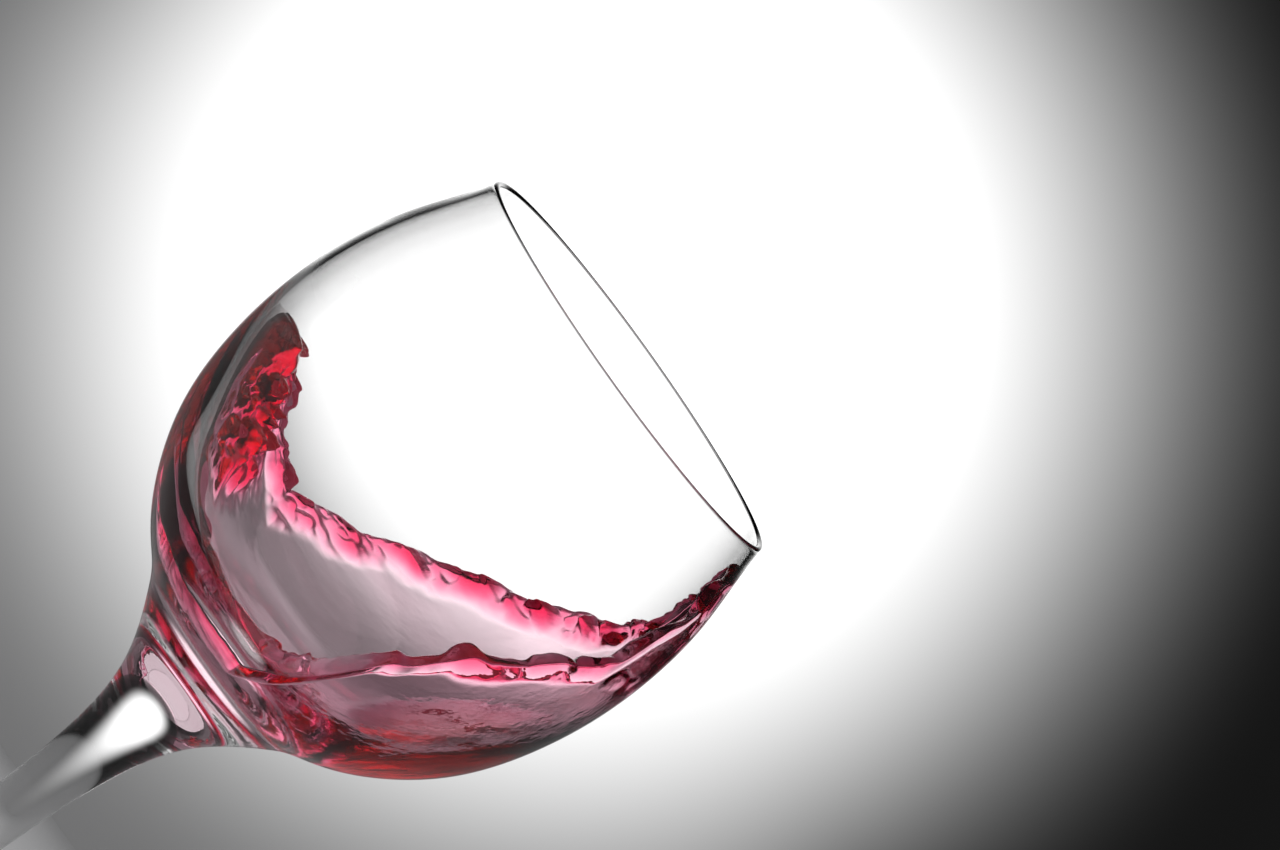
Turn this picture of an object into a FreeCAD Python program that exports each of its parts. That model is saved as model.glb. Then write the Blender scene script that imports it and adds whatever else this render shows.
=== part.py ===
import FreeCAD, Part
import Sketcher
import bisect
import math
import os

# A stemmed balloon wine glass standing on its foot, with red wine thrown
# up the wall of its bowl. Millimetres. The origin is the middle of the
# foot's underside and +Z runs up the stem to the rim. The wine has run
# over to +X, and its tongue hangs on the wall between -X and +Y.

os.makedirs("parts", exist_ok=True)
doc = FreeCAD.newDocument("glass_of_red_wine")


# ---- sizes ---------------------------------------------------------------
# Heights in the bowl are steps above or below the floor of the bowl.

sizes = [
    ("foot_radius", 38.0, "outside of the foot"),
    ("foot_edge_radius", 0.8, "rounding of the foot's edge"),
    ("foot_middle_radius", 20.0, "middle of the foot's upper face"),
    ("foot_middle_height", 3.4, "middle of the foot's upper face"),
    ("foot_root_radius", 7.0, "where the foot turns up into the stem"),
    ("foot_root_height", 4.6, "where the foot turns up into the stem"),
    ("foot_turn_height", 13.0, "where the stem begins to spread"),
    ("foot_neck_height", 26.0, "lower end of the straight stem"),
    ("stem_radius", 4.7, "straight part of the stem"),
    ("floor_height", 108.7, "bowl's floor above the foot's underside"),
    ("stem_top_drop", 56.7, "upper end of the straight stem"),
    ("waist_drop", 45.0, "stem starts to widen"),
    ("draw_radius", 5.5, "drawn stem under the bowl"),
    ("draw_drop", 27.1, "drawn stem under the bowl"),
    ("taper_radius", 9.7, "tapering top of the stem"),
    ("taper_drop", 15.0, "tapering top of the stem"),
    ("neck_radius", 17.1, "stem flaring into the bowl"),
    ("neck_drop", 6.2, "stem flaring into the bowl"),
    ("flare_radius", 20.2, "flare turning into the bowl"),
    ("flare_drop", 2.8, "flare turning into the bowl"),
    ("girdle_radius", 28.0, "outside of the bowl beside its floor"),
    ("girdle_rise", 1.5, "outside of the bowl beside its floor"),
    ("base_radius", 39.2, "outside, low in the bowl"),
    ("base_wall", 5.1, "thickening wall low in the bowl"),
    ("base_rise", 15.1, "height of that station"),
    ("lower_radius", 44.1, "outside, under the belly"),
    ("lower_wall", 2.4, "wall under the belly"),
    ("lower_rise", 31.5, "height of that station"),
    ("belly_radius", 45.6, "outside at the belly"),
    ("belly_wall", 1.3, "wall at the belly"),
    ("belly_rise", 47.8, "height of that station"),
    ("shoulder_radius", 43.4, "outside above the belly"),
    ("shoulder_wall", 1.5, "wall above the belly"),
    ("shoulder_rise", 65.9, "height of that station"),
    ("lip_radius", 39.5, "outside below the rim"),
    ("lip_wall", 1.1, "wall below the rim"),
    ("lip_rise", 74.6, "height of that station"),
    ("rim_radius", 37.8, "outside of the rim"),
    ("rim_wall", 1.2, "thickness of the rounded rim"),
    ("rim_rise", 80.7, "start of the rim's rounding"),
    ("corner_radius", 23.8, "inside, where floor turns up into wall"),
    ("corner_rise", 5.1, "inside, where floor turns up into wall"),
    ("floor_radius", 13.9, "where the bowl's floor starts to rise"),
    ("disc_radius", 4.0, "flat middle of the bowl's floor"),
    ("wine_clearance", 0.1, "wine's face inside the inner wall"),
    ("film_thickness", 1.3, "sheet of wine on the wall"),
    ("tongue_thickness", 4.5, "wine in the tongue, measured the same way"),
    ("tongue_angle", 162.0, "direction of the tongue's middle, degrees"),
    ("tongue_spread", 18.0, "half the tongue's angle, degrees"),
    ("bead_thickness", 3.0, "thickness of the sheet's outer edge"),
    ("bead_curve", 1.5, "fall of the bead towards the bowl, per mm squared"),
    ("pool_tilt", 55.0, "slope of the pool's surface up to +X, degrees"),
    ("pool_thickness", 5.5, "wine under the pool's surface at its deepest"),
    ("trim_side", 12.0, "past this, towards +X, the bead is the thickest"),
    ("blend", 0.8, "softness where pool, sheet and bead meet"),
    ("surface_step", 2.2, "spacing of the surface's control points"),
    ("edge_rim_side", 76.5, "edge of the wine at 2 degrees"),
    ("edge_far_first", 66.5, "edge at 15 degrees"),
    ("edge_far_second", 57.5, "edge at 23 degrees"),
    ("edge_far_third", 49.0, "edge at 40 degrees"),
    ("edge_far_fourth", 38.0, "edge at 61 degrees"),
    ("edge_far_fifth", 28.0, "edge at 80 degrees"),
    ("edge_far_sixth", 18.0, "edge at 98 degrees"),
    ("edge_far_low", 13.8, "edge at 124 degrees"),
    ("edge_tongue_foot", 19.0, "edge at 137 degrees"),
    ("edge_tongue_side", 29.0, "edge at 146 degrees"),
    ("edge_tongue_top", 35.8, "edge at 157 degrees"),
    ("edge_tongue_tip", 38.0, "edge at 167 degrees"),
    ("edge_tongue_shoulder", 35.0, "edge at 178 degrees"),
    ("edge_tongue_back", 16.0, "edge at 188 degrees"),
    ("edge_back_low", 7.0, "edge at 205 degrees"),
    ("edge_back", 4.8, "edge at 240 degrees"),
    ("edge_near_low", 5.0, "edge at 277 degrees"),
    ("edge_near_first", 10.0, "edge at 287 degrees"),
    ("edge_near_second", 27.0, "edge at 296 degrees"),
    ("edge_near_third", 37.0, "edge at 304 degrees"),
    ("edge_near_fourth", 48.0, "edge at 321 degrees"),
    ("edge_near_fifth", 54.0, "edge at 331 degrees"),
    ("edge_near_sixth", 63.0, "edge at 337 degrees"),
    ("edge_near_seventh", 73.5, "edge at 350 degrees"),
]

sheet = doc.addObject("Spreadsheet::Sheet", "sizes")
for row, (name, number, note) in enumerate(sizes, start=1):
    sheet.set("A%d" % row, note)
    sheet.set("B%d" % row, str(number))
    sheet.setAlias("B%d" % row, name)
doc.recompute()


def size(name):
    return float(sheet.get(name))


# ---- stations of the profile ---------------------------------------------
# Each station is a radius expression and a height expression.

def at_rise(radius, rise):
    return ("sizes.%s" % radius, "sizes.floor_height + sizes.%s" % rise)


def at_drop(radius, drop):
    return ("sizes.%s" % radius, "sizes.floor_height - sizes.%s" % drop)


bowl_names = ["rim", "lip", "shoulder", "belly", "lower", "base"]
outer_stations = [at_rise(name + "_radius", name + "_rise") for name in bowl_names]
outer_stations += [
    at_rise("girdle_radius", "girdle_rise"),
    at_drop("flare_radius", "flare_drop"),
    at_drop("neck_radius", "neck_drop"),
    at_drop("taper_radius", "taper_drop"),
    at_drop("draw_radius", "draw_drop"),
    at_drop("stem_radius", "waist_drop"),
    at_drop("stem_radius", "stem_top_drop"),
]
inner_stations = [
    (
        "sizes.%s_radius - sizes.%s_wall" % (name, name),
        "sizes.floor_height + sizes.%s_rise" % name,
    )
    for name in bowl_names
]
inner_stations += [
    at_rise("corner_radius", "corner_rise"),
    ("sizes.floor_radius", "sizes.floor_height"),
    ("sizes.disc_radius", "sizes.floor_height"),
]
foot_stations = [
    ("sizes.stem_radius", "sizes.foot_neck_height"),
    ("sizes.stem_radius", "sizes.foot_turn_height"),
    ("sizes.foot_root_radius", "sizes.foot_root_height"),
    ("sizes.foot_middle_radius", "sizes.foot_middle_height"),
    ("sizes.foot_radius - sizes.foot_edge_radius", "2 * sizes.foot_edge_radius"),
]


def evaluate(expression):
    """Value of a station's expression, a sum of sizes of the sheet."""
    total = 0.0
    sign = 1.0
    for word in expression.split():
        if word == "+":
            sign = 1.0
        elif word == "-":
            sign = -1.0
        elif word == "*":
            continue
        elif word == "2":
            sign = 2.0
        else:
            total += sign * size(word.replace("sizes.", ""))
    return total


def station_points(stations):
    return [
        FreeCAD.Vector(evaluate(radius), evaluate(height), 0)
        for radius, height in stations
    ]


def smooth_curve(points):
    """Cubic curve drawn by the stations, ending on the first and the last."""
    curve = Part.BSplineCurve()
    spans = len(points) - 3
    multiplicities = [4] + [1] * (spans - 1) + [4]
    knots = [step / spans for step in range(spans + 1)]
    curve.buildFromPolesMultsKnots(points, multiplicities, knots, False, 3)
    return curve


# ---- glass: one revolved profile -----------------------------------------

glass = doc.addObject("PartDesign::Body", "glass")
glass.Label = "glass"
profile = glass.newObject("Sketcher::SketchObject", "glass_profile")
upright = [plane for plane in glass.Origin.OriginFeatures if plane.Role == "XZ_Plane"]
profile.AttachmentSupport = (upright[0], [""])
profile.MapMode = "FlatFace"

origin = (-1, 1)
vertical_axis = -2


def bind_distance(kind, element, point, expression):
    start = profile.addConstraint(
        Sketcher.Constraint(kind, origin[0], origin[1], element, point, evaluate(expression))
    )
    profile.setExpression("Constraints[%d]" % start, expression)


def add_spline(stations):
    """Draw a curve whose every control point is held by the sizes."""
    points = station_points(stations)
    spline = profile.addGeometry(smooth_curve(points), False)
    for number, point in enumerate(points):
        circle = profile.addGeometry(
            Part.Circle(point, FreeCAD.Vector(0, 0, 1), 1.0), True
        )
        profile.addConstraint(Sketcher.Constraint("Weight", circle, 1.0))
        profile.addConstraint(
            Sketcher.Constraint(
                "InternalAlignment:Sketcher::BSplineControlPoint",
                circle, 3, spline, number,
            )
        )
        radius, height = stations[number]
        bind_distance("DistanceX", circle, 3, radius)
        bind_distance("DistanceY", circle, 3, height)
    return spline


def add_line(start, end):
    return profile.addGeometry(Part.LineSegment(start, end), False)


def add_half_circle(centre, radius, first, last):
    circle = Part.Circle(centre, FreeCAD.Vector(0, 0, 1), radius)
    arc = Part.ArcOfCircle(circle, math.radians(first), math.radians(last))
    return profile.addGeometry(arc, False)


def join(first, first_point, second, second_point):
    profile.addConstraint(
        Sketcher.Constraint("Coincident", first, first_point, second, second_point)
    )


outer_points = station_points(outer_stations)
inner_points = station_points(inner_stations)
foot_points = station_points(foot_stations)

outer_wall = add_spline(outer_stations)
inner_wall = add_spline(inner_stations)
foot_top = add_spline(foot_stations)
stem = add_line(outer_points[-1], foot_points[0])

edge_centre = foot_points[-1] - FreeCAD.Vector(0, size("foot_edge_radius"), 0)
foot_edge = add_half_circle(edge_centre, size("foot_edge_radius"), -90, 90)
underside = add_line(FreeCAD.Vector(foot_points[-1].x, 0, 0), FreeCAD.Vector(0, 0, 0))
floor_centre = FreeCAD.Vector(0, size("floor_height"), 0)
middle = add_line(FreeCAD.Vector(0, 0, 0), floor_centre)
floor_disc = add_line(floor_centre, inner_points[-1])
rim_centre = (outer_points[0] + inner_points[0]) * 0.5
rim = add_half_circle(rim_centre, size("rim_wall") / 2, 0, 180)

join(stem, 1, outer_wall, 2)
join(stem, 2, foot_top, 1)
bind_distance("DistanceX", foot_edge, 3, foot_stations[-1][0])
bind_distance("DistanceY", foot_edge, 3, "sizes.foot_edge_radius")
join(foot_edge, 2, foot_top, 2)
profile.addConstraint(Sketcher.Constraint("Vertical", foot_edge, 1, foot_edge, 3))
join(underside, 1, foot_edge, 1)
join(underside, 2, origin[0], origin[1])
join(middle, 1, origin[0], origin[1])
profile.addConstraint(Sketcher.Constraint("PointOnObject", middle, 2, vertical_axis))
join(floor_disc, 1, middle, 2)
join(floor_disc, 2, inner_wall, 2)
profile.addConstraint(Sketcher.Constraint("Horizontal", floor_disc))
join(rim, 1, outer_wall, 1)
join(rim, 2, inner_wall, 1)
bind_distance("DistanceY", rim, 3, outer_stations[0][1])
doc.recompute()

turned = glass.newObject("PartDesign::Revolution", "glass_turned")
turned.Profile = profile
turned.ReferenceAxis = (profile, ["V_Axis"])
turned.Angle = 360
profile.Visibility = False
doc.recompute()


# ---- wine: the bowl's inside, cut by the thrown-up surface ----------------

floor_height = size("floor_height")
clearance = size("wine_clearance")


def fill_of_bowl():
    """The inside of the bowl, a clearance smaller than the inner wall."""
    points = []
    for place in inner_points:
        radius = max(place.x - clearance, 0.0)
        points.append(FreeCAD.Vector(radius, 0, place.y))
    points[-2] = points[-2] + FreeCAD.Vector(0, 0, clearance)
    points[-1] = points[-1] + FreeCAD.Vector(0, 0, clearance)
    wall = smooth_curve(points)
    top = FreeCAD.Vector(0, 0, points[0].z)
    bottom = FreeCAD.Vector(0, 0, points[-1].z)
    outline = Part.Wire(
        [
            wall.toShape(),
            Part.makeLine(points[-1], bottom),
            Part.makeLine(bottom, top),
            Part.makeLine(top, points[0]),
        ]
    )
    face = Part.Face(outline)
    solid = face.revolve(FreeCAD.Vector(0, 0, 0), FreeCAD.Vector(0, 0, 1), 360)
    return solid, wall


bowl_fill, wine_wall = fill_of_bowl()


def inset_wall(inset):
    """Radii and heights of the wall moved into the bowl, from the floor up."""
    radii = []
    heights = []
    samples = 400
    for step in range(samples + 1):
        place = 1.0 - step / samples
        point = wine_wall.value(place)
        along = wine_wall.tangent(place)[0]
        radii.append(point.x + inset * along.z)
        heights.append(point.z - inset * along.x)
    return radii, heights


def between(places, values, place):
    """Straight-line reading of a table, carried on past its end."""
    index = bisect.bisect_right(places, place)
    index = min(max(index, 1), len(places) - 1)
    before = places[index - 1]
    share = (place - before) / max(places[index] - before, 1e-9)
    return values[index - 1] + max(share, 0.0) * (values[index] - values[index - 1])


def rising_part(inset):
    """The inset wall up to its belly, as a table of height by radius."""
    radii, heights = inset_wall(inset)
    belly = radii.index(max(radii))
    return radii[:belly], heights[:belly]


wall_radii, wall_heights = inset_wall(0.0)
film_wall = rising_part(size("film_thickness"))
tongue_wall = rising_part(size("tongue_thickness"))


def wall_radius_at(height):
    return between(wall_heights, wall_radii, height)


edge_stations = [
    (2, "edge_rim_side"),
    (15, "edge_far_first"),
    (23, "edge_far_second"),
    (40, "edge_far_third"),
    (61, "edge_far_fourth"),
    (80, "edge_far_fifth"),
    (98, "edge_far_sixth"),
    (124, "edge_far_low"),
    (137, "edge_tongue_foot"),
    (146, "edge_tongue_side"),
    (157, "edge_tongue_top"),
    (167, "edge_tongue_tip"),
    (178, "edge_tongue_shoulder"),
    (188, "edge_tongue_back"),
    (205, "edge_back_low"),
    (240, "edge_back"),
    (277, "edge_near_low"),
    (287, "edge_near_first"),
    (296, "edge_near_second"),
    (304, "edge_near_third"),
    (321, "edge_near_fourth"),
    (331, "edge_near_fifth"),
    (337, "edge_near_sixth"),
    (350, "edge_near_seventh"),
    (362, "edge_rim_side"),
]
edge_angles = [angle for angle, name in edge_stations]
edge_rises = [size(name) for angle, name in edge_stations]


def edge_height(angle):
    """Height of the wine's edge on the wall, eased between stations."""
    turn = angle % 360.0
    if turn < edge_angles[0]:
        turn += 360.0
    index = bisect.bisect_right(edge_angles, turn)
    index = min(max(index, 1), len(edge_angles) - 1)
    span = edge_angles[index] - edge_angles[index - 1]
    share = (turn - edge_angles[index - 1]) / span
    eased = 0.5 * share + 0.5 * share * share * (3.0 - 2.0 * share)
    low = edge_rises[index - 1]
    return floor_height + low + eased * (edge_rises[index] - low)


tongue_angle = size("tongue_angle")
tongue_spread = size("tongue_spread")
bead_thickness = size("bead_thickness")
bead_curve = size("bead_curve")
blend = size("blend")
pool_slope = math.radians(size("pool_tilt"))
pool_up = FreeCAD.Vector(-math.sin(pool_slope), 0, math.cos(pool_slope))
pool_bottom = min(
    radius * pool_up.x + height * pool_up.z
    for radius, height in zip(wall_radii, wall_heights)
)
pool_level = pool_bottom + size("pool_thickness")


def larger(first, second):
    """The larger of two numbers, with a soft change from one to the other."""
    return 0.5 * (first + second + math.sqrt((first - second) ** 2 + blend * blend))


def smaller(first, second):
    return -larger(-first, -second)


def surface_height(x, y):
    """Height of the wine's free surface over one place of the bowl."""
    radius = math.hypot(x, y)
    angle = math.degrees(math.atan2(y, x))
    edge = edge_height(angle)
    reach = wall_radius_at(edge)
    pool = (pool_level - pool_up.x * x) / pool_up.z
    film = between(film_wall[0], film_wall[1], radius)
    thick_film = between(tongue_wall[0], tongue_wall[1], radius)
    aside = (angle % 360.0 - tongue_angle) / tongue_spread
    film += (thick_film - film) * math.exp(-aside * aside)
    inside = max(reach - bead_thickness - radius, 0.0)
    bead = edge - bead_curve * inside * inside
    top = larger(larger(pool, film), bead)
    ceiling = edge + 1.5 * (reach - radius)
    return smaller(top, ceiling)


def ground_under_surface():
    """Everything below the free surface, as one block."""
    step = size("surface_step")
    half = math.ceil((size("belly_radius") + step) / step)
    rows = []
    for across in range(-half, half + 1):
        row = []
        for along in range(-half, half + 1):
            x = across * step
            y = along * step
            row.append(FreeCAD.Vector(x, y, surface_height(x, y)))
        rows.append(row)
    surface = Part.BSplineSurface()
    surface.interpolate(rows)
    return surface.toShape().extrude(FreeCAD.Vector(0, 0, -2 * floor_height))


def hollow_over_pool():
    """The bowl's space above the pool on the +X side, a bead's thickness
    inside the wall. It thins the wine under the overhanging upper wall."""
    radii, heights = inset_wall(bead_thickness)
    count = 40
    steps = [round(index * (len(radii) - 1) / count) for index in range(count + 1)]
    wall = Part.BSplineCurve()
    wall.interpolate([FreeCAD.Vector(radii[step], 0, heights[step]) for step in steps])
    top = FreeCAD.Vector(0, 0, heights[-1])
    bottom = FreeCAD.Vector(0, 0, heights[0])
    outline = Part.Wire(
        [
            wall.toShape(),
            Part.makeLine(wall.StartPoint, bottom),
            Part.makeLine(bottom, top),
            Part.makeLine(top, wall.EndPoint),
        ]
    )
    core = Part.Face(outline).revolve(
        FreeCAD.Vector(0, 0, 0), FreeCAD.Vector(0, 0, 1), 360
    )
    wide = 4 * size("belly_radius")
    above = Part.makeBox(wide, wide, wide, FreeCAD.Vector(-wide / 2, -wide / 2, 0))
    above.rotate(
        FreeCAD.Vector(0, 0, 0), FreeCAD.Vector(0, 1, 0), -math.degrees(pool_slope)
    )
    above.translate(pool_up * pool_level)
    beside = Part.makeBox(
        wide, wide, 2 * wide, FreeCAD.Vector(size("trim_side"), -wide / 2, 0)
    )
    return core.common(above).common(beside)


wine = doc.addObject("Part::Feature", "wine")
wine.Label = "wine"
poured = bowl_fill.common(ground_under_surface()).cut(hollow_over_pool())
pieces = sorted(poured.Solids, key=lambda piece: piece.Volume)
wine.Shape = pieces[-1]
wine.Placement = FreeCAD.Placement()
doc.recompute()


# ---- checks and export -----------------------------------------------------

for item in doc.Objects:
    if "Invalid" in item.State or "Error" in item.State:
        raise RuntimeError("%s did not build: %s" % (item.Name, item.State))

for part in (glass, wine):
    shape = part.Shape
    if shape.isNull() or not shape.isValid() or len(shape.Solids) != 1:
        raise RuntimeError("%s has no sound shape" % part.Label)
    shape.exportStep("parts/%s.step" % part.Label)
    box = shape.BoundBox
    print(part.Label, "volume %.0f" % shape.Volume, "solids", len(shape.Solids))
    print("   box", [round(v, 2) for v in (box.XMin, box.YMin, box.ZMin, box.XMax, box.YMax, box.ZMax)])
print("pieces of wine", [round(piece.Volume, 3) for piece in pieces])
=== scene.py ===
import math
from types import SimpleNamespace

import bpy
import numpy as np
from mathutils import Matrix, Vector


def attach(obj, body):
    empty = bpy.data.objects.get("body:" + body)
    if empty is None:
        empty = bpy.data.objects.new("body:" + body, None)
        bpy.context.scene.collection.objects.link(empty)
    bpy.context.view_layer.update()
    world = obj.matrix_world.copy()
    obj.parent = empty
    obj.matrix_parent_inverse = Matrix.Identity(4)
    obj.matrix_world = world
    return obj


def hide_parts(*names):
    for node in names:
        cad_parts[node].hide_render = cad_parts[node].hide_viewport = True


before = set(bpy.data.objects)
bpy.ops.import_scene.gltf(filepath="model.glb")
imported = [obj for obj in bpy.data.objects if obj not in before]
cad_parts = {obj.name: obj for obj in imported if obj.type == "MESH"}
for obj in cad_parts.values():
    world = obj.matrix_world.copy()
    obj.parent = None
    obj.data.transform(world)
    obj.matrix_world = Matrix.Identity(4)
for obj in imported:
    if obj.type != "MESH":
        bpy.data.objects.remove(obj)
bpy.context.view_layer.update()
print("frame loaded")

mm = 0.001


# a cubic spline from its first pole to its last: every point is the sum of
# the poles, each times its basis weight at that place along the curve
def splinePoints(poles, count):
    poles = np.array(poles, float)
    spans = len(poles) - 3
    knots = np.concatenate([np.zeros(3), np.arange(spans + 1.0), np.full(3, spans)])
    place = np.linspace(0, spans - 1e-9, count)[:, None]
    weights = ((place >= knots[:-1]) & (place < knots[1:])).astype(float)
    for degree in (1, 2, 3):
        width = knots[degree:] - knots[:-degree]
        safe = np.where(width > 0, width, 1.0)
        rising = (place - knots[: -degree - 1]) / safe[:-1] * (width[:-1] > 0)
        falling = (knots[degree + 1 :] - place) / safe[1:] * (width[1:] > 0)
        weights = weights[:, :-1] * rising + weights[:, 1:] * falling
    return weights @ poles


# an arc: its centre plus the radius turned from one angle to the other
def arcPoints(centre, radius, first, last, count):
    angle = np.radians(np.linspace(first, last, count))
    turn = np.stack([np.cos(angle), np.sin(angle)], 1)
    return np.array(centre) + radius * turn


# directions round the upright axis, in equal steps from +X
def directions(columns):
    return np.linspace(0, 2 * np.pi, columns, endpoint=False)


# (radius, height) in space: the radius goes out along each column's
# direction, and the height stays
def inSpace(flat, angle):
    radius, height = flat[..., 0], flat[..., 1]
    return np.stack([radius * np.cos(angle), radius * np.sin(angle), height + 0 * angle], -1)


# a closed skin: row i and column j of the grid meet their next neighbours,
# the last column meets the first, and a single point closes each end row
def closedSkin(name, grid, firstPole, lastPole):
    rows, columns = grid.shape[:2]
    points = np.concatenate([grid.reshape(-1, 3), [firstPole, lastPole]])
    index = np.arange(rows * columns).reshape(rows, columns)
    beside = np.roll(index, -1, axis=1)
    quads = np.stack([index[:-1], beside[:-1], beside[1:], index[1:]], -1).reshape(-1, 4)
    pole = rows * columns
    firstFan = np.stack([beside[0], index[0], np.full(columns, pole)], -1)
    lastFan = np.stack([index[-1], beside[-1], np.full(columns, pole + 1)], -1)
    mesh = bpy.data.meshes.new(name)
    faces = quads.tolist() + firstFan.tolist() + lastFan.tolist()
    mesh.from_pydata((points * mm).tolist(), [], faces)
    mesh.polygons.foreach_set("use_smooth", np.ones(len(mesh.polygons), bool))
    mesh.update()
    piece = bpy.data.objects.new(name, mesh)
    bpy.context.scene.collection.objects.link(piece)
    return piece


# smooth noise from -1 to 1: random values on a cubic lattice, read between
# its nodes with an eased weight along each of the three directions
def lattice(points, size, seed):
    side = 32
    shift = 7.3  # keeps the origin off a node
    table = np.random.default_rng(seed).uniform(-1, 1, (side, side, side))
    place = points / size + shift
    cell = np.floor(place).astype(int)
    share = place - cell
    share = share**3 * (share * (share * 6 - 15) + 10)
    total = np.zeros(points.shape[:-1])
    for corner in np.ndindex(2, 2, 2):
        weight = np.where(corner, share, 1 - share).prod(axis=-1)
        node = (cell + corner) % side
        total += weight * table[node[..., 0], node[..., 1], node[..., 2]]
    return total


# a soft step from 0 to 1 between two places: three times the square of the
# share of the way, less twice its cube
def softStep(low, high, value):
    share = np.clip((value - low) / (high - low), 0, 1)
    return share * share * (3 - 2 * share)


# the larger of two, rounded off where they cross: half of their sum and of
# the root of their difference squared plus the blend squared
def softLarger(first, second, blend):
    return 0.5 * (first + second + np.sqrt((first - second) ** 2 + blend * blend))


# the glass, in millimetres: each pole is (radius, height)
glassShape = {
    "outerPoles": [
        (37.8, 189.4), (39.5, 183.3), (43.4, 174.6), (45.6, 156.5), (44.1, 140.2),
        (39.2, 123.8), (28.0, 110.2), (20.2, 105.9), (17.1, 102.5), (9.7, 93.7),
        (5.5, 81.6), (4.7, 63.7), (4.7, 52.0),
    ],
    "innerPoles": [
        (36.6, 189.4), (38.4, 183.3), (41.9, 174.6), (44.4, 156.5), (42.4, 140.2),
        (34.9, 123.8), (23.8, 113.8), (13.9, 108.7), (4.0, 108.7),
    ],
    "footPoles": [(4.7, 26.0), (4.7, 13.0), (7.0, 4.6), (20.0, 3.4), (37.2, 1.6)],
    "rimRadius": 0.6,
    "footEdge": 0.8,  # radius of the foot's round edge
    "undersideRing": 2.0,  # radius of the first ring round the axis
    "floorRing": 1.0,  # the same on the bowl's floor
    "columns": 288,
}


# the glass in one outline from the middle of the underside round the foot's
# edge, up the stem and the bowl, over the rim and down to the bowl's floor:
# splines, arcs and straight stretches, turned about the upright axis
def makeGlass(shape):
    outer = splinePoints(shape["outerPoles"], 110)
    inner = splinePoints(shape["innerPoles"], 96)
    foot = splinePoints(shape["footPoles"], 40)
    floorHeight = inner[-1][1]
    edgeCentre = foot[-1] - (0, shape["footEdge"])
    edge = arcPoints(edgeCentre, shape["footEdge"], -90, 90, 10)
    rimCentre = (outer[0] + inner[0]) / 2
    rim = arcPoints(rimCentre, shape["rimRadius"], 0, 180, 12)
    underside = np.linspace((shape["undersideRing"], 0.0), edge[0], 10)
    stem = np.linspace(foot[0], outer[-1], 12)
    floorDisc = np.linspace(inner[-1], (shape["floorRing"], floorHeight), 4)
    outline = [
        underside[:-1], edge, foot[::-1][1:-1], stem, outer[::-1][1:-1], rim,
        inner[1:], floorDisc[1:],
    ]
    profile = np.concatenate(outline)[:, None]
    grid = inSpace(profile, directions(shape["columns"]))
    return closedSkin("glassBody", grid, (0, 0, 0), (0, 0, floorHeight))


glassBody = makeGlass(glassShape)
print("glass made,", len(glassBody.data.polygons), "faces")

# the wine: lengths in millimetres, directions in degrees round the bowl from
# +X, and every (from, to) pair is heights above the bowl's floor
wineShape = {
    # direction, and height of the wine's edge there
    "edge": [
        (2, 76.5), (15, 66.5), (23, 57.5), (40, 49.0), (61, 38.0), (80, 28.0),
        (98, 18.0), (124, 13.8), (137, 19.0), (146, 29.0), (157, 35.8), (167, 38.0),
        (178, 35.0), (188, 16.0), (205, 7.0), (240, 4.8), (277, 5.0), (287, 10.0),
        (296, 27.0), (304, 37.0), (321, 48.0), (331, 54.0), (337, 63.0), (350, 73.5),
    ],
    "edgeWave": 0.55,
    "waveFrom": (3, 9),
    "intoWall": 0.2,
    "edgeRound": 1.6,  # length over which the free sheet rounds off at its edge
    "film": 0.12,
    "thinnestFilm": 0.08,
    "streak": 0.3,
    "streakLength": 14.0,
    "bead": 2.6,
    "nearWidth": 6.5,
    "farWidth": 9.5,
    "beadThins": (45, 74),
    "beadStarts": (1, 4),
    "heavyMiddle": 288.0,
    "heavySpread": 11.0,
    "tongue": 6.5,
    "tongueMiddle": 160.0,
    "tongueSpread": 19.0,
    "tongueStarts": (4, 14),
    "tongueCap": (22, 32),
    "capTilt": (142, 180),  # directions between which the cap thickens
    "poolTilt": 55.0,
    "poolDepth": 4.4,
    "poolLimit": 6.5,
    "poolRipple": 0.25,
    "rimLumps": 1.6,
    "rimLumpsStart": (44, 60),
    "axisGap": 0.4,  # how near the free sheet may come to the upright axis
    "columns": 560,
    "outerRows": 60,
    "freeRows": 104,
}


# the bowl's inside as a table along the wall from the floor's middle: place,
# length run so far, and the normal that points into the bowl, which is the
# wall's direction turned by a right angle
def wallTable(poles):
    curve = splinePoints(poles, 900)[::-1]
    curve = np.concatenate([np.linspace((0, curve[0][1]), curve[0], 40)[:-1], curve])
    run = np.concatenate([[0], np.cumsum(np.hypot(*np.diff(curve, axis=0).T))])
    along = np.gradient(curve, run, axis=0)
    along /= np.hypot(along[:, 0], along[:, 1])[:, None]
    normal = np.stack([-along[:, 1], along[:, 0]], 1)
    return curve, run, normal


# place on the wall and normal there, read from the table in proportion
# between the two lengths on either side
def onWall(table, length):
    curve, run, normal = table
    place = [np.interp(length, run, curve[:, side]) for side in (0, 1)]
    inward = [np.interp(length, run, normal[:, side]) for side in (0, 1)]
    return np.stack(place, -1), np.stack(inward, -1)


# height of the wine's edge in every direction: eased steps from station to
# station round the bowl, with a small wave that makes it uneven
def edgeHeights(angle, shape, floorHeight):
    places = np.array([place for place, rise in shape["edge"]], float)
    rises = np.array([rise for place, rise in shape["edge"]], float)
    places = np.concatenate([[places[-1] - 360], places, [places[0] + 360]])
    rises = np.concatenate([[rises[-1]], rises, [rises[0]]])
    turn = np.degrees(angle)
    index = np.clip(np.searchsorted(places, turn, side="right"), 1, len(places) - 1)
    share = (turn - places[index - 1]) / (places[index] - places[index - 1])
    eased = 0.4 * share + 0.6 * softStep(0, 1, share)
    rise = rises[index - 1] + eased * (rises[index] - rises[index - 1])
    ring = np.stack([40 * np.cos(angle), 40 * np.sin(angle), rise], -1)
    wave = lattice(ring, 5.0, 4) + 0.5 * lattice(ring, 2.3, 5)
    return floorHeight + rise + shape["edgeWave"] * wave * softStep(*shape["waveFrom"], rise)


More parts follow.
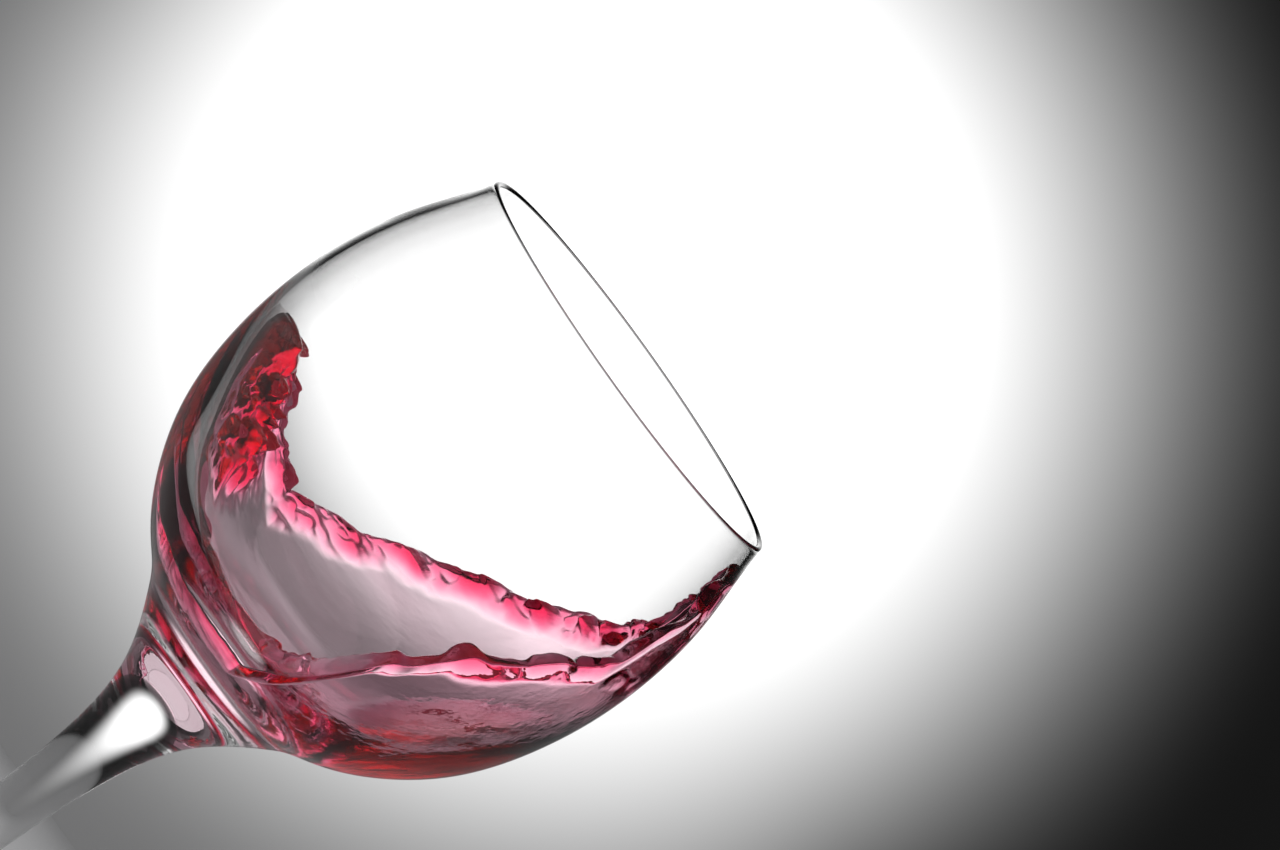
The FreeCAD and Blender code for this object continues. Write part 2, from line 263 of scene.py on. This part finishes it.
# the free sheet before it leaves the wall: rows run from the edge back to the
# floor and crowd near the edge, and each spot gets its noise, drawn out along
# X; lumps are sizes of noise with rounded valleys, the root of its square
# plus a little
def freeRows(shape, table, angle, edge, edgeRun):
    floorHeight = table[0][0][1]
    sheet = SimpleNamespace(angle=angle, turn=np.degrees(angle)[None, :])
    back = np.linspace(0, 1, shape["freeRows"])[:, None] ** 1.7 * 0.985
    sheet.fromEdge = back * edgeRun
    sheet.place, sheet.inward = onWall(table, edgeRun - sheet.fromEdge)
    sheet.spot = inSpace(sheet.place, angle)
    sheet.rise = sheet.spot[..., 2] - floorHeight
    sheet.edgeRise = edge - floorHeight
    sheet.farSide = softStep(-0.2, 0.5, np.sin(angle))
    skin = np.clip(sheet.fromEdge / shape["edgeRound"], 0, 1)
    sheet.skin = np.sqrt(skin * (2 - skin))

    flow = sheet.spot * (0.55, 1.0, 1.0)
    sheet.broad = lattice(flow, 9.0, 14)
    sheet.coarse = lattice(flow, 5.0, 11)
    sheet.middle = lattice(flow, 2.6, 12)
    fine = lattice(flow, 1.4, 13)
    sheet.lumps = np.sqrt((0.9 * sheet.coarse + 0.5 * sheet.middle) ** 2 + 0.012)
    sheet.lumps += 0.35 * np.sqrt(fine**2 + 0.02)
    sheet.ripple = lattice(sheet.spot * (0.25, 1.0, 0.6), 3.2, 21)
    return sheet


# film: its thickness plus, on the far side, streaks that die out away from
# the edge, and never less than the thinnest film
def filmDepth(shape, sheet):
    fading = np.exp(-sheet.fromEdge / shape["streakLength"]) * sheet.farSide
    film = shape["film"] + shape["streak"] * sheet.ripple * fading
    return np.maximum(film, shape["thinnestFilm"]) * sheet.skin


# bead: a crown that falls away over the band's width, times lumps on the far
# side and a smoother swell on the near one, which is heavy round one
# direction; it thins towards the rim and where the edge is hardly raised
def beadDepth(shape, sheet):
    towardsRim = softStep(*shape["beadThins"], sheet.rise)
    width = shape["nearWidth"] + (shape["farWidth"] - shape["nearWidth"]) * sheet.farSide
    width = width * (1 + 0.3 * sheet.broad) * (1 - 0.5 * towardsRim)
    crown = sheet.skin * (1 - softStep(0.25, 1.0, sheet.fromEdge / width))
    heavy = np.exp(-(((sheet.turn - shape["heavyMiddle"]) / shape["heavySpread"]) ** 2))
    swell = 0.85 + 0.55 * sheet.coarse + 0.25 * sheet.middle
    swell += heavy * (0.3 + 1.1 * sheet.lumps)
    far = (0.3 + 1.6 * sheet.lumps) * sheet.farSide
    near = swell * (1 - sheet.farSide) * (1 - 0.3 * towardsRim)
    raised = 0.2 + 0.8 * softStep(*shape["beadStarts"], sheet.edgeRise)
    return shape["bead"] * crown * (far + near) * raised


# tongue: a bell curve round its middle direction that rises from the edge as
# a square root, lumpy low down, and a smoother cap thicker to one side
def tongueDepth(shape, sheet):
    aside = (sheet.turn - shape["tongueMiddle"]) / shape["tongueSpread"]
    hold = np.exp(-(aside**2) * 1.4) * softStep(*shape["tongueStarts"], sheet.rise)
    body = hold * np.clip(sheet.fromEdge / 3.0, 0, 1) ** 0.5
    cap = softStep(*shape["tongueCap"], sheet.rise)
    tilt = softStep(*shape["capTilt"], sheet.turn)
    lumpy = (0.45 + sheet.lumps) * (1 - cap)
    smooth = (0.45 + 1.05 * tilt + 0.2 * sheet.coarse) * cap
    return shape["tongue"] * body * (lumpy + smooth)


# pool: how deep each spot on the wall lies under a tilted plane, divided by
# how straight its normal points at that plane, with a ripple on top
def poolDepth(shape, sheet, curve):
    slope = math.radians(shape["poolTilt"])
    up = np.array([-math.sin(slope), math.cos(slope)])
    level = (curve @ up).min() + shape["poolDepth"]
    height = sheet.spot[..., 0] * up[0] + sheet.spot[..., 2] * up[1]
    sideways = sheet.inward[..., 0] * np.cos(sheet.angle)
    lean = sideways * up[0] + sheet.inward[..., 1] * up[1]
    pool = (level - height) / np.maximum(lean, 0.45) + shape["poolRipple"] * sheet.ripple
    return np.clip(pool, 0, shape["poolLimit"]) * sheet.skin


# lumps near the rim: soft steps of the noise, times a soft step of the height
def rimDepth(shape, sheet):
    blobs = softStep(0.1, 0.7, sheet.coarse + 0.4 * sheet.middle)
    return shape["rimLumps"] * blobs * softStep(*shape["rimLumpsStart"], sheet.rise) * sheet.skin


# the wine's skin over (direction, share of the way from floor to edge): one
# sheet lies just inside the glass, and the free one stands off the wall by
# the thickness of film, bead, tongue, pool or lumps, whichever is the most
def makeWine(shape, wallPoles):
    table = wallTable(wallPoles)
    curve, run, normal = table
    floorHeight = curve[0][1]
    angle = directions(shape["columns"])
    edge = edgeHeights(angle, shape, floorHeight)
    rising = curve[:, 1] > floorHeight + 0.01
    edgeRun = np.interp(edge, curve[rising, 1], run[rising])

    # sheet inside the glass, from the floor out to the edge
    outerShare = np.linspace(0.01, 1, shape["outerRows"])[:, None] ** 0.8
    place, inward = onWall(table, outerShare * edgeRun)
    outerSheet = inSpace(place - shape["intoWall"] * inward, angle)

    sheet = freeRows(shape, table, angle, edge, edgeRun)
    depth = softLarger(filmDepth(shape, sheet), beadDepth(shape, sheet), 0.1)
    depth = softLarger(depth, tongueDepth(shape, sheet), 0.2)
    depth = softLarger(depth, poolDepth(shape, sheet, curve), 0.15)
    depth = softLarger(depth, rimDepth(shape, sheet), 0.1)

    # at the edge the free sheet meets the other one inside the glass
    free = np.minimum(sheet.skin * 3, 1)
    depth = depth * free - (1 - free) * shape["intoWall"]
    room = np.maximum(sheet.place[..., 0] - shape["axisGap"], 0)
    depth = np.minimum(depth, room / np.maximum(-sheet.inward[..., 0], 0.05))
    freeSheet = inSpace(sheet.place + depth[..., None] * sheet.inward, angle)

    grid = np.concatenate([outerSheet, freeSheet[1:]])
    bottom = (0, 0, floorHeight - shape["intoWall"])
    top = (0, 0, freeSheet[-1, :, 2].mean())
    return closedSkin("wineSplash", grid, bottom, top)


wineSplash = makeWine(wineShape, glassShape["innerPoles"])
print("wine made,", len(wineSplash.data.polygons), "faces")

for piece, node, slot in (
    (glassBody, "glass", "clear_glass"),
    (wineSplash, "wine", "red_wine"),
):
    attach(piece, "root")
    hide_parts(node)


# one output of a node: its sums, differences and products become Math nodes,
# so that shader maths reads as ordinary expressions
class Term:
    def __init__(self, maker, socket):  # keeps the tree's maker and the output
        self.maker = maker
        self.socket = socket

    def math(self, operation, *values):  # the operation on the values in turn
        inputs = dict(enumerate(values))
        return self.maker.add("ShaderNodeMath", {"operation": operation}, inputs)

    def __add__(self, other):  # this plus the other
        return self.math("ADD", self, other)

    def __radd__(self, other):  # the other plus this
        return self.math("ADD", other, self)

    def __sub__(self, other):  # this less the other
        return self.math("SUBTRACT", self, other)

    def __rsub__(self, other):  # the other less this
        return self.math("SUBTRACT", other, self)

    def __mul__(self, other):  # this times the other
        return self.math("MULTIPLY", self, other)

    def __rmul__(self, other):  # the other times this
        return self.math("MULTIPLY", other, self)


# the nodes of one tree
class Maker:
    def __init__(self, tree):  # starts from an empty tree
        self.tree = tree
        self.tree.nodes.clear()

    # a node of any type: its settings first, then its sockets' values or
    # links, and it gives back one of its outputs
    def add(self, kind, settings, inputs, output=0):
        node = self.tree.nodes.new(kind)
        for name, value in settings.items():
            setattr(node, name, value)
        for name, value in inputs.items():
            if isinstance(value, Term):
                self.tree.links.new(value.socket, node.inputs[name])
            else:
                node.inputs[name].default_value = value
        return Term(self, node.outputs[output]) if node.outputs else node

    # a soft step from 0 to 1 between two values, as softStep works it out
    def soft(self, value, low, high):
        settings = {"interpolation_type": "SMOOTHSTEP"}
        inputs = {"Value": value, "From Min": low, "From Max": high}
        return self.add("ShaderNodeMapRange", settings, inputs)


# a new material, and the maker that fills its empty tree
def startMaterial(name):
    material = bpy.data.materials.new(name)
    material.use_nodes = True
    return material, Maker(material.node_tree)


glassLook = {
    "refraction": 1.5,
    "smear": 0.012,  # roughness where a smear is strongest
    "smearScale": 55.0,
    "smearFrom": (0.55, 0.8),
    "waveScale": 16.0,
    "waveStrength": 0.05,
    "waveHeight": 0.0006,
}


# clear drawn glass: roughness is a soft step of a noise, which gives faint
# smears, and a slow noise bends what is seen through the wall
def clearGlass(look):
    material, maker = startMaterial("clearGlass")
    place = maker.add("ShaderNodeTexCoord", {}, {}, "Object")
    smears = maker.add(
        "ShaderNodeTexNoise", {}, {"Vector": place, "Scale": look["smearScale"], "Detail": 4.0}
    )
    waves = maker.add(
        "ShaderNodeTexNoise", {}, {"Vector": place, "Scale": look["waveScale"], "Detail": 1.0}
    )
    bump = maker.add(
        "ShaderNodeBump",
        {},
        {"Height": waves, "Strength": look["waveStrength"], "Distance": look["waveHeight"]},
    )
    shader = maker.add(
        "ShaderNodeBsdfPrincipled",
        {},
        {
            "Base Color": (1.0, 1.0, 1.0, 1.0),
            "Roughness": maker.soft(smears, *look["smearFrom"]) * look["smear"],
            "IOR": look["refraction"],
            "Transmission Weight": 1.0,
            "Normal": bump,
        },
    )
    maker.add("ShaderNodeOutputMaterial", {}, {"Surface": shader})
    return material


wineLook = {
    "absorbColour": (0.96, 0.0, 0.34),
    "absorbDensity": 520.0,
    "refraction": 1.345,
    "flow": (0.4, 1.0, 1.0),  # the swirl is drawn out along X
    "swirlScale": 260.0,
    "swirlStrength": 0.12,
    "swirlHeight": 0.0008,
    "tints": ((1.0, 0.98, 0.985, 1.0), (0.985, 0.985, 0.99, 1.0)),
}


# red wine: the volume takes out green and most of the blue with depth, so a
# film is nearly clear, a bead is pink and the pool is a deep red; a noise
# drawn out along the flow ripples the skin and mixes its two faint tints
def redWine(look):
    material, maker = startMaterial("redWine")
    place = maker.add("ShaderNodeTexCoord", {}, {}, "Object")
    streaks = maker.add("ShaderNodeMapping", {}, {"Vector": place, "Scale": look["flow"]})
    swirl = maker.add(
        "ShaderNodeTexNoise", {}, {"Vector": streaks, "Scale": look["swirlScale"], "Detail": 3.0}
    )
    bump = maker.add(
        "ShaderNodeBump",
        {},
        {"Height": swirl, "Strength": look["swirlStrength"], "Distance": look["swirlHeight"]},
    )
    first, second = look["tints"]
    mixed = {0: swirl, 6: first, 7: second}  # the Mix node's factor and two colours
    tint = maker.add("ShaderNodeMix", {"data_type": "RGBA"}, mixed, 2)
    shader = maker.add(
        "ShaderNodeBsdfPrincipled",
        {},
        {
            "Base Color": tint,
            "Roughness": 0.0,
            "IOR": look["refraction"],
            "Transmission Weight": 1.0,
            "Normal": bump,
        },
    )
    depth = maker.add(
        "ShaderNodeVolumeAbsorption",
        {},
        {"Color": (*look["absorbColour"], 1.0), "Density": look["absorbDensity"]},
    )
    maker.add("ShaderNodeOutputMaterial", {}, {"Surface": shader, "Volume": depth})
    return material


for piece, node, material in (
    (glassBody, "glass", clearGlass(glassLook)),
    (wineSplash, "wine", redWine(wineLook)),
):
    piece.data.materials.append(material)
    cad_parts[node].data.materials.clear()
    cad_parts[node].data.materials.append(material)
print("materials made")


# a flat disc: rings of the given radii about its middle, turned so that its
# upright axis points the way it faces
def discMesh(name, middle, facing, radii):
    turn = np.array(Vector(facing).to_track_quat("Z", "Y").to_matrix())
    angle = directions(96)
    rays = np.stack([np.cos(angle), np.sin(angle), 0 * angle], -1)
    grid = radii[:, None, None] * rays @ turn.T + np.array(middle)
    index = np.arange(len(radii) * len(angle)).reshape(len(radii), len(angle))
    beside = np.roll(index, -1, axis=1)
    quads = np.stack([index[:-1], index[1:], beside[1:], beside[:-1]], -1).reshape(-1, 4)
    mesh = bpy.data.meshes.new(name)
    mesh.from_pydata(grid.reshape(-1, 3).tolist(), [], [*quads.tolist(), index[0].tolist()])
    disc = bpy.data.objects.new(name, mesh)
    bpy.context.scene.collection.objects.link(disc)
    return disc


# metres
floorLook = {
    "colour": (0.82, 0.82, 0.83),
    "roughness": 0.7,
    "grain": 0.15,
    "grainScale": 30.0,
    "fade": (0.9, 1.5),
    "below": 0.0001,  # keeps it clear of the foot's underside
}


# pale floor: roughness is its own plus a share of a fine noise, and a soft
# step of the distance from the middle fades it into the background
def makeFloor(look):
    near, far = look["fade"]
    rings = np.linspace(0.02, far, 40)
    floor = discMesh("floor", (0, 0, -look["below"]), (0, 0, 1), rings)
    material, maker = startMaterial("paleFloor")
    place = maker.add("ShaderNodeTexCoord", {}, {}, "Object")
    away = maker.add("ShaderNodeVectorMath", {"operation": "LENGTH"}, {0: place}, "Value")
    grain = maker.add(
        "ShaderNodeTexNoise", {}, {"Vector": place, "Scale": look["grainScale"], "Detail": 5.0}
    )
    shader = maker.add(
        "ShaderNodeBsdfPrincipled",
        {},
        {
            "Base Color": (*look["colour"], 1.0),
            "Roughness": look["roughness"] + grain * look["grain"],
            "Alpha": 1 - maker.soft(away, near, far),
        },
    )
    maker.add("ShaderNodeOutputMaterial", {}, {"Surface": shader})
    floor.data.materials.append(material)


# metres; each round panel has its middle, the way it faces, and where its
# glow starts to fade and ends: one stands behind the glass for the main view
# and one for the view along X
panelLook = {
    "panels": [
        ((-0.017, 0.3, 0.157), (0, -1, 0), (0.06, 0.185)),
        ((-0.9, 0.0, 0.1), (1, 0, 0), (0.2, 0.36)),
    ],
    "glow": 1.12,
}


# a glowing round panel: its brightness is one less a soft step of the distance
# from its middle, and as much of it as that is solid, the rest and its back
# are clear
def makePanel(number, middle, facing, fade, glow):
    near, far = fade
    name = "panel%d" % number
    panel = discMesh(name, middle, facing, np.linspace(0.01, far, 24))
    material, maker = startMaterial(name)
    place = maker.add("ShaderNodeTexCoord", {}, {}, "Object")
    away = maker.add(
        "ShaderNodeVectorMath", {"operation": "DISTANCE"}, {0: place, 1: middle}, "Value"
    )
    bright = 1 - maker.soft(away, near, far)
    behind = maker.add("ShaderNodeNewGeometry", {}, {}, "Backfacing")
    dark = maker.add("ShaderNodeEmission", {}, {"Strength": 0.0})
    light = maker.add("ShaderNodeEmission", {}, {"Strength": glow})
    face = maker.add("ShaderNodeMixShader", {}, {0: bright, 1: dark, 2: light})
    clear = maker.add("ShaderNodeBsdfTransparent", {}, {})
    solid = bright * (1 - behind)
    shader = maker.add("ShaderNodeMixShader", {}, {0: solid, 1: clear, 2: face})
    maker.add("ShaderNodeOutputMaterial", {}, {"Surface": shader})
    panel.data.materials.append(material)


# watts and metres
lightLook = {
    "surroundings": 0.015,
    "power": 14.0,
    "size": 3.0,
    "height": 2.2,
}


# dim surroundings, the same in every direction
def makeSurroundings(look):
    world = bpy.data.worlds.new("studio")
    bpy.context.scene.world = world
    world.use_nodes = True
    maker = Maker(world.node_tree)
    background = maker.add("ShaderNodeBackground", {}, {"Strength": look["surroundings"]})
    maker.add("ShaderNodeOutputWorld", {}, {"Surface": background})


# a broad round light straight above, which shines down as it stands
def makeTopLight(look):
    light = bpy.data.lights.new("topLight", "AREA")
    light.shape = "DISK"
    light.size = look["size"]
    light.energy = look["power"]
    lamp = bpy.data.objects.new("topLight", light)
    lamp.location = (0.0, 0.0, look["height"])
    bpy.context.scene.collection.objects.link(lamp)


# metres, degrees and millimetres of lens
viewPoint = {
    "place": (0.0, -1.1, 0.3056),
    "aim": (0.0091, 0.0049, 0.1848),
    "roll": 35.54,
    "lens": 186.6,
}


# camera: it looks from its place to the aim, and its own sideways direction
# is upright times the roll's cosine plus level times its sine, so that the
# stem runs down to the lower left of the view
def makeCamera(view):
    camera = bpy.data.objects.new("camera", bpy.data.cameras.new("camera"))
    bpy.context.scene.collection.objects.link(camera)
    bpy.context.scene.camera = camera
    camera.data.lens = view["lens"]
    camera.data.clip_start = 0.01
    place, aim = Vector(view["place"]), Vector(view["aim"])
    ahead = (aim - place).normalized()
    level = ahead.cross(Vector((0, 0, 1))).normalized()
    upright = level.cross(ahead)
    roll = math.radians(view["roll"])
    right = upright * math.cos(roll) + level * math.sin(roll)
    above = right.cross(ahead)
    turn = Matrix((right, above, -ahead)).transposed()
    camera.matrix_world = Matrix.Translation(place) @ turn.to_4x4()


makeFloor(floorLook)
for number, (middle, facing, fade) in enumerate(panelLook["panels"], start=1):
    makePanel(number, middle, facing, fade, panelLook["glow"])
makeSurroundings(lightLook)
makeTopLight(lightLook)
makeCamera(viewPoint)

# light goes through many walls and turns back inside the foot many times
bounces = 32
scene = bpy.context.scene
scene.view_settings.view_transform = "Standard"
scene.view_settings.look = "Medium High Contrast"
scene.cycles.glossy_bounces = bounces
scene.cycles.max_bounces = bounces
scene.cycles.transmission_bounces = bounces
scene.cycles.transparent_max_bounces = 16
scene.cycles.use_denoising = True
print("floor, light and camera made")
